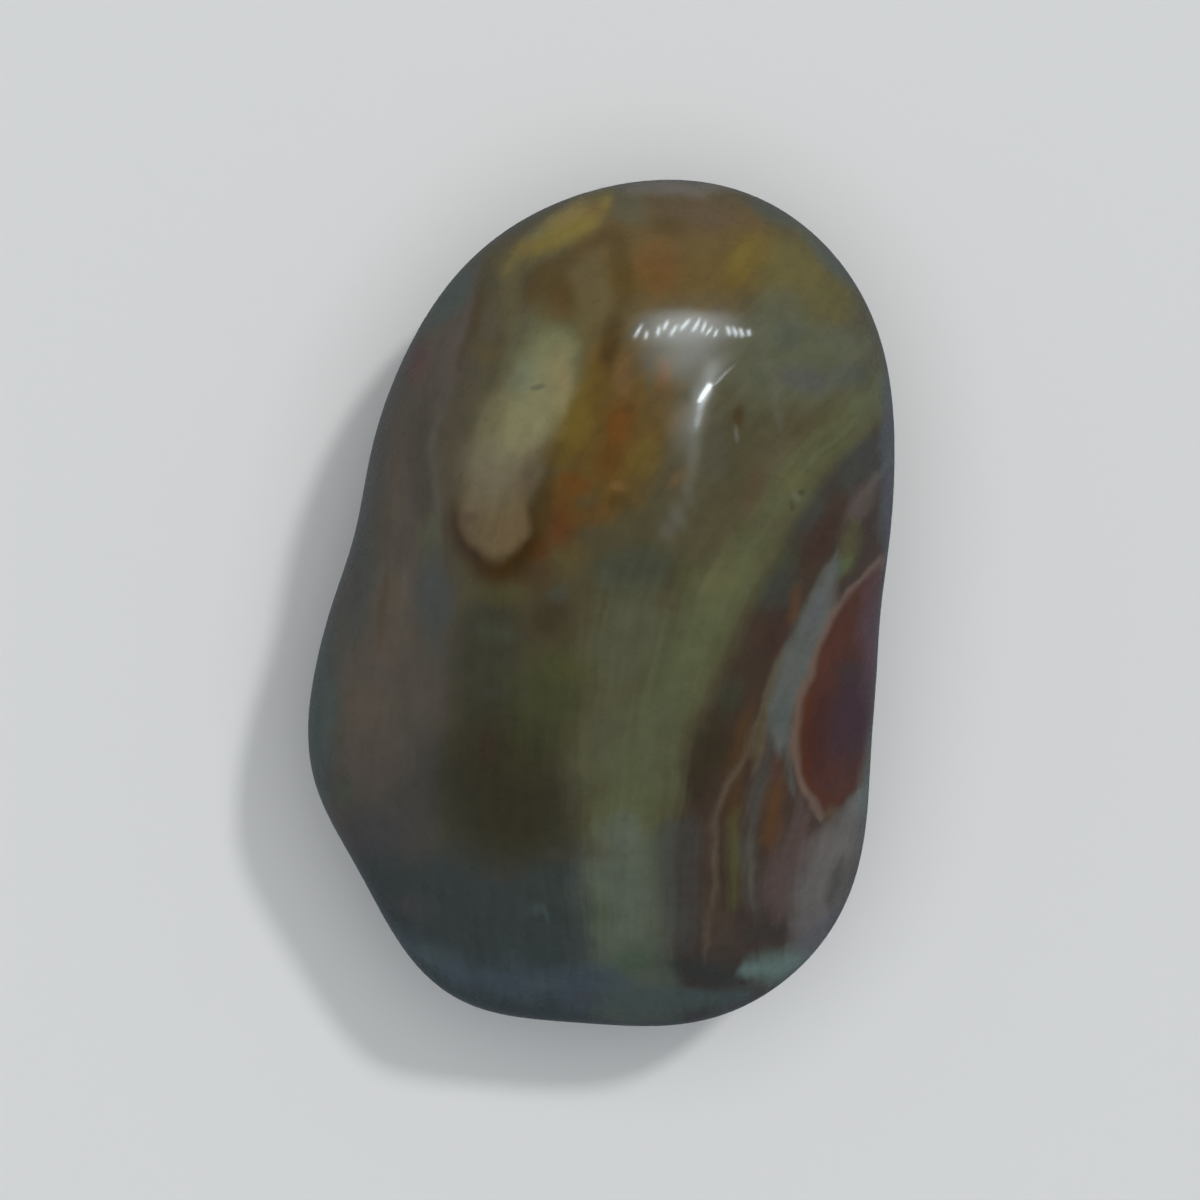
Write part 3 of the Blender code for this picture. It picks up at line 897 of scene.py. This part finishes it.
def polished_jasper():
    """Polychrome jasper, tumbled and waxed: opaque, cloudy bands of iron and chlorite colours
    under a glassy polish, which gives sharp lamp glints with a soft halo. Some cool bands on the
    rim and foot are painted reflection."""
    material = bpy.data.materials.new("polished polychrome jasper")
    material.use_nodes = True
    tree = material.node_tree
    shader = tree.nodes["Principled BSDF"]

    coordinates = add(tree, "ShaderNodeTexCoord")
    place = add(
        tree,
        "ShaderNodeVectorMath",
        {0: coordinates.outputs["Object"], "Scale": 1.0 / MM},
        operation="SCALE",
    ).outputs[0]
    spread = laid_out(tree, place)
    parts = add(tree, "ShaderNodeSeparateXYZ", {0: spread}).outputs
    spot = add(tree, "ShaderNodeCombineXYZ", {0: parts["X"], 1: parts["Y"]}).outputs[0]
    shares = {
        axis.lower(): add(
            tree, "ShaderNodeMath", {0: parts[axis], 1: 1.0 / SPAN, 2: 0.5},
            operation="MULTIPLY_ADD",
        ).outputs[0]
        for axis in ("X", "Y")
    }
    across = flow_across(tree, parts["X"], shares["y"])
    flowing = add(
        tree, "ShaderNodeCombineXYZ", {0: across, 1: parts["Y"], 2: parts["Z"]}
    ).outputs[0]
    streak_place = add(
        tree, "ShaderNodeVectorMath", {0: flowing, 1: [1.0 / size for size in STREAK_SIZES]},
        operation="MULTIPLY",
    ).outputs[0]
    streaks = add(
        tree,
        "ShaderNodeTexNoise",
        {"Vector": streak_place, "Scale": 1.0, "Detail": 2.0, "Roughness": 0.5},
    ).outputs[0]
    clouds = add(
        tree,
        "ShaderNodeTexNoise",
        {"Vector": place, "Scale": 1.0 / CLOUD_SIZE, "Detail": 2.0, "Roughness": 0.5},
    ).outputs[0]
    # Edges fray both in clouds and along the flow, by as much inwards as outwards.
    both = add(
        tree, "ShaderNodeMath", {0: streaks, 1: STREAKS_IN_UNREST, 2: clouds},
        operation="MULTIPLY_ADD",
    ).outputs[0]
    middle_of_both = NOISE_MIDDLE * (1.0 + STREAKS_IN_UNREST)
    unrest = add(
        tree, "ShaderNodeMath", {0: both, 1: UNREST, 2: -UNREST * middle_of_both},
        operation="MULTIPLY_ADD",
    ).outputs[0]
    # The lens and the single marks have calmer edges.
    calm = add(
        tree, "ShaderNodeMath", {0: clouds, 1: CALM_UNREST, 2: -CALM_UNREST * NOISE_MIDDLE},
        operation="MULTIPLY_ADD",
    ).outputs[0]

    inner_zones = [zone for band in COUNTRY + BANDS for zone in band[-1]]
    fades = zone_fades(tree, unrest, [*ZONES, *inner_zones])
    colour = stone_and_reflection_colour(GROUND)
    colour = with_bands(tree, colour, shares, spot, unrest, fades, COUNTRY)
    colour = with_zones(tree, colour, spot, fades, ZONES)
    colour = with_bands(tree, colour, shares, spot, unrest, fades, BANDS)
    calm_fades = zone_fades(tree, calm, LENS_AND_MARKS)
    colour = with_zones(tree, colour, spot, calm_fades, LENS_AND_MARKS)

    # The patterns make each colour lighter and darker, and leave it as it is in their middle.
    mottling = add(
        tree,
        "ShaderNodeTexNoise",
        {"Vector": place, "Scale": 1.0 / MOTTLING_SIZE, "Detail": 2.0, "Roughness": 0.6},
    ).outputs[0]
    grain = add(
        tree,
        "ShaderNodeTexNoise",
        {"Vector": place, "Scale": 1.0 / GRAIN_SIZE, "Detail": 2.0, "Roughness": 0.7},
    ).outputs[0]
    depths = (
        (streaks, STREAK_SHADE),
        (mottling, MOTTLING_SHADE),
        (grain, GRAIN_SHADE),
        (clouds, CLOUD_SHADE),
    )
    shade = 1.0 - NOISE_MIDDLE * sum(depth for _, depth in depths)
    for pattern, depth in depths:
        shade = add(
            tree, "ShaderNodeMath", {0: pattern, 1: depth, 2: shade}, operation="MULTIPLY_ADD"
        ).outputs[0]
    shaded = add(
        tree, "ShaderNodeVectorMath", {0: colour, "Scale": shade}, operation="SCALE"
    ).outputs[0]

    tree.links.new(shaded, shader.inputs["Base Color"])
    darkest, palest = NOISE_RANGE
    sharpest, dullest = ROUGHNESS_RANGE
    gloss = add(
        tree,
        "ShaderNodeMapRange",
        {"Value": mottling, "From Min": darkest, "From Max": palest, "To Min": sharpest,
         "To Max": dullest},
    ).outputs[0]
    tree.links.new(gloss, shader.inputs["Roughness"])
    relief = add(
        tree,
        "ShaderNodeBump",
        {"Height": mottling, "Distance": RELIEF_DEPTH * MM, "Strength": 1.0},
    ).outputs[0]
    tree.links.new(relief, shader.inputs["Normal"])
    shader.inputs["IOR"].default_value = 1.54
    shader.inputs["Specular IOR Level"].default_value = 0.12
    shader.inputs["Coat Weight"].default_value = 0.7
    shader.inputs["Coat Roughness"].default_value = 0.06
    return material


# ---------------------------------------------------------------- the stone
# Corners of the solid nearer than this are one corner.
WELD_DISTANCE = 0.01
# A face of the flat looks down at least this straight.
FLAT_FACING = -0.999
# Two triangles become one four-sided face up to these angles between them and at its corners.
JOIN_FACE_DEG = 30.0
JOIN_SHAPE_DEG = 60.0
SMOOTHING_LEVELS = 2


def smoothed_stone(node):
    """The solid's own shape, with its facets smoothed and the edge of its flat eased."""
    form = bmesh.new()
    form.from_mesh(node.data)
    bmesh.ops.remove_doubles(form, verts=form.verts[:], dist=WELD_DISTANCE * MM)
    sawn = [face for face in form.faces if face.normal.z < FLAT_FACING]
    flat = bmesh.ops.dissolve_faces(form, faces=sawn)["region"]
    others = [face for face in form.faces if face not in flat]
    bmesh.ops.join_triangles(
        form,
        faces=others,
        angle_face_threshold=math.radians(JOIN_FACE_DEG),
        angle_shape_threshold=math.radians(JOIN_SHAPE_DEG),
    )
    bmesh.ops.inset_region(form, faces=flat, thickness=BASE_EDGE_EASING * MM)
    mesh = bpy.data.meshes.new("jasper stone")
    form.to_mesh(mesh)
    form.free()
    mesh.shade_smooth()
    mesh.materials.append(polished_jasper())
    stone = bpy.data.objects.new("jasper_stone", mesh)
    bpy.context.scene.collection.objects.link(stone)
    smoothing = stone.modifiers.new("smoothing", "SUBSURF")
    smoothing.levels = SMOOTHING_LEVELS
    smoothing.render_levels = SMOOTHING_LEVELS
    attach(stone, "root")
    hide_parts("stone")
    return stone


# ---------------------------------------------------------------- the studio
# The floor's half width, and how far the panels and tubes are from the stone, in metres
FLOOR_REACH = 3.0
LAMP_DISTANCE = 1.25

# Distant round lamps, which the polish doesn't mirror: name, the way they come from, width in
# degrees, strength. The fill is broad and overhead, and only brightens the colours.
DISTANT_LAMPS = (
    ("key", (0.42, 0.41, 0.81), 6.0, 1.0),
    ("fill", (0.03, 0.0, 1.0), 70.0, 1.5),
)

# Panels that only the polish mirrors: name, the spot of the stone that mirrors them, width and
# height in metres, lean in degrees, brightness in the middle, and the share of each half over
# which they fade. Spots are in millimetres as the camera sees them, on the girdle's level.
PANELS = (
    ("wide_panel", (11.2, 34.5), 0.80, 0.28, 9, 6.6, 0.9),
    ("low_panel", (10.9, 30.8), 0.78, 0.32, 10, 3.6, 1.0),
    ("glint_halo", (13.5, 27.6), 0.36, 0.26, 22, 5.0, 1.0),
    ("left_haze", (11.1, 22.5), 0.60, 0.24, 36, 2.3, 1.0),
    ("glint", (13.5, 26.8), 0.135, 0.064, 32, 60.0, 1.0),
    ("glint_foot", (12.6, 24.6), 0.15, 0.100, 38, 9.0, 1.0),
    ("glint_line", (14.4, 27.3), 0.018, 0.20, -35, 12.0, 0.8),
    ("smear_1", (11.9, 21.6), 0.34, 0.125, 42, 1.9, 0.9),
    ("smear_2", (11.5, 17.4), 0.26, 0.090, 53, 1.0, 0.9),
    ("smear_3", (11.0, 13.9), 0.28, 0.100, 60, 0.9, 0.9),
    ("smear_4", (9.7, 10.8), 0.34, 0.130, 59, 1.2, 0.9),
    ("smear_5", (8.4, 8.9), 0.28, 0.100, 55, 1.0, 0.9),
)

PANEL_COLOUR = (0.88, 1.0, 1.07)

# A row of short tube lamps, which the polish mirrors as a row of slanting dashes: the spot of
# the stone that mirrors them, length in metres, lean in degrees
TUBE_WIDTH = 0.022
TUBE_FADE = 0.8
TUBE_BRIGHTNESS = 30.0
TUBES = (
    ((4.8, 33.8), 0.105, -28),
    ((5.8, 33.3), 0.055, 0),
    ((7.3, 33.8), 0.075, 5),
    ((8.2, 34.5), 0.080, -10),
    ((9.2, 33.9), 0.085, -14),
    ((10.6, 34.6), 0.090, -14),
    ((12.0, 34.5), 0.105, -14),
    ((12.9, 34.2), 0.080, -10),
    ((13.5, 33.7), 0.080, -10),
    ((14.4, 33.5), 0.060, 34),
    ((16.0, 33.8), 0.120, 64),
    ((16.8, 33.7), 0.135, 68),
    ((17.6, 33.6), 0.135, 70),
    ((18.5, 33.6), 0.100, 70),
)


# The sky's shade by height, and its tint from the foot's end to the head's end
SKY_STOPS = {
    "Z": (
        (-1.0, (0.10, 0.11, 0.12)),
        (-0.3, (0.22, 0.23, 0.25)),
        (0.1, (0.34, 0.36, 0.39)),
        (0.5, (0.24, 0.25, 0.26)),
        (1.0, (0.09, 0.095, 0.10)),
    ),
    "Y": (
        (-1.0, (0.45, 0.55, 0.66)),
        (0.0, (0.85, 0.89, 0.92)),
        (1.0, (1.10, 1.06, 0.96)),
    ),
}


def pale_floor():
    """A wide, pale floor, which the stone lies on."""
    form = bmesh.new()
    bmesh.ops.create_grid(form, x_segments=1, y_segments=1, size=FLOOR_REACH)
    mesh = bpy.data.meshes.new("floor")
    form.to_mesh(mesh)
    form.free()
    floor = bpy.data.objects.new("floor", mesh)
    bpy.context.scene.collection.objects.link(floor)
    # The polish mirrors the dim studio instead of the floor, which would glare round its rim.
    floor.visible_glossy = False
    # Matt board: no visible gloss
    material = bpy.data.materials.new("matt studio board")
    material.use_nodes = True
    shader = material.node_tree.nodes["Principled BSDF"]
    shader.inputs["Base Color"].default_value = linear(FLOOR_COLOUR)
    shader.inputs["Roughness"].default_value = 0.9
    shader.inputs["Specular IOR Level"].default_value = 0.0
    mesh.materials.append(material)


def mirrored(stone, spot):
    """Where a spot lies on the smoothed stone, and the way that it mirrors into the camera."""
    sight = (Vector((*spot, GIRDLE_HEIGHT)) - CAMERA_PLACE).normalized()
    _, place, _, face = stone.ray_cast(CAMERA_PLACE * MM, sight)
    corners = [stone.data.vertices[corner] for corner in stone.data.polygons[face].vertices]
    shares = poly_3d_calc([corner.co for corner in corners], place)
    normal = sum((corner.normal * share for corner, share in zip(corners, shares)), Vector())
    return place, sight.reflect(normal)


def panel_lamp(stone, name, spot, width, height, lean_deg, brightness, fade):
    """A flat lamp that only the polish mirrors, with the brightness a mirror would show."""
    light = bpy.data.lights.new(name, "AREA")
    light.shape = "RECTANGLE"
    light.size = width
    light.size_y = height
    light.energy = brightness * math.pi * width * height
    light.color = PANEL_COLOUR
    light.use_nodes = True
    tree = light.node_tree
    corner = add(tree, "ShaderNodeTexCoord").outputs["UV"]
    # Places on the panel run from -1 to 1, with 0 in its middle.
    middle = add(
        tree, "ShaderNodeMapping",
        {"Vector": corner, "Location": (-1.0, -1.0, 0.0), "Scale": (2.0, 2.0, 1.0)},
    ).outputs[0]
    reach = add(tree, "ShaderNodeVectorMath", {0: middle}, operation="ABSOLUTE").outputs[0]
    sides = add(tree, "ShaderNodeSeparateXYZ", {0: reach}).outputs
    shares = [
        add(
            tree, "ShaderNodeMapRange",
            {"Value": sides[axis], "From Min": 1.0, "From Max": 1.0 - fade},
            interpolation_type="SMOOTHSTEP",
        ).outputs[0]
        for axis in ("X", "Y")
    ]
    share = add(
        tree, "ShaderNodeMath", {0: shares[0], 1: shares[1]}, operation="MULTIPLY"
    ).outputs[0]
    tree.links.new(share, tree.nodes["Emission"].inputs["Strength"])
    holder = bpy.data.objects.new(name, light)
    place, away = mirrored(stone, spot)
    turn = away.to_track_quat("Z", "Y") @ Quaternion((0.0, 0.0, 1.0), math.radians(lean_deg))
    holder.rotation_euler = turn.to_euler()
    holder.location = place + away * LAMP_DISTANCE
    holder.visible_diffuse = False
    bpy.context.scene.collection.objects.link(holder)


def sky():
    """A cool, dim studio. It is darkest overhead and under the stone, and at the foot's end."""
    world = bpy.data.worlds.new("studio")
    bpy.context.scene.world = world
    # The sky is too even to need light rays of its own.
    world.cycles.sampling_method = "NONE"
    world.use_nodes = True
    tree = world.node_tree
    direction = add(tree, "ShaderNodeTexCoord")
    parts = add(tree, "ShaderNodeSeparateXYZ", {0: direction.outputs["Generated"]}).outputs
    shades = []
    for axis, stops in SKY_STOPS.items():
        share = add(
            tree, "ShaderNodeMapRange", {"Value": parts[axis], "From Min": -1.0, "From Max": 1.0}
        ).outputs[0]
        shade = add(tree, "ShaderNodeValToRGB", {0: share})
        ends = shade.color_ramp.elements
        for end, (place, colour) in zip(ends, (stops[0], stops[-1])):
            end.position = (place + 1.0) / 2.0
            end.color = (*colour, 1.0)
        for place, colour in stops[1:-1]:
            ends.new((place + 1.0) / 2.0).color = (*colour, 1.0)
        shades.append(shade.outputs[0])
    colour = add(
        tree, "ShaderNodeMix", {0: 1.0, 6: shades[0], 7: shades[1]}, data_type="RGBA",
        blend_type="MULTIPLY",
    ).outputs[2]
    tree.links.new(colour, tree.nodes["Background"].inputs["Color"])


def distant_lamp(name, came_from, width_deg, strength):
    """A lamp far away, which lights the colours and not the polish."""
    light = bpy.data.lights.new(name, "SUN")
    light.energy = strength
    light.angle = math.radians(width_deg)
    holder = bpy.data.objects.new(name, light)
    holder.rotation_euler = Vector(came_from).to_track_quat("Z", "Y").to_euler()
    holder.visible_glossy = False
    bpy.context.scene.collection.objects.link(holder)


def studio(stone):
    """All the lamps. The panels and tubes stand where the stone mirrors them."""
    smooth = stone.evaluated_get(bpy.context.evaluated_depsgraph_get())
    for lamp in DISTANT_LAMPS:
        distant_lamp(*lamp)
    for panel in PANELS:
        panel_lamp(smooth, *panel)
    for count, (spot, length, lean) in enumerate(TUBES, start=1):
        name = f"tube_{count:02d}"
        panel_lamp(smooth, name, spot, TUBE_WIDTH, length, lean, TUBE_BRIGHTNESS, TUBE_FADE)


def camera():
    """A camera straight above the stone."""
    lens = bpy.data.cameras.new("camera")
    lens.lens = LENS_FOCAL_LENGTH
    lens.sensor_width = SENSOR_WIDTH
    holder = bpy.data.objects.new("camera", lens)
    holder.location = CAMERA_PLACE * MM
    bpy.context.scene.collection.objects.link(holder)
    bpy.context.scene.camera = holder
    bpy.context.scene.view_settings.view_transform = "Standard"


stone = smoothed_stone(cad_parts["stone"])
pale_floor()
sky()
studio(stone)
camera()
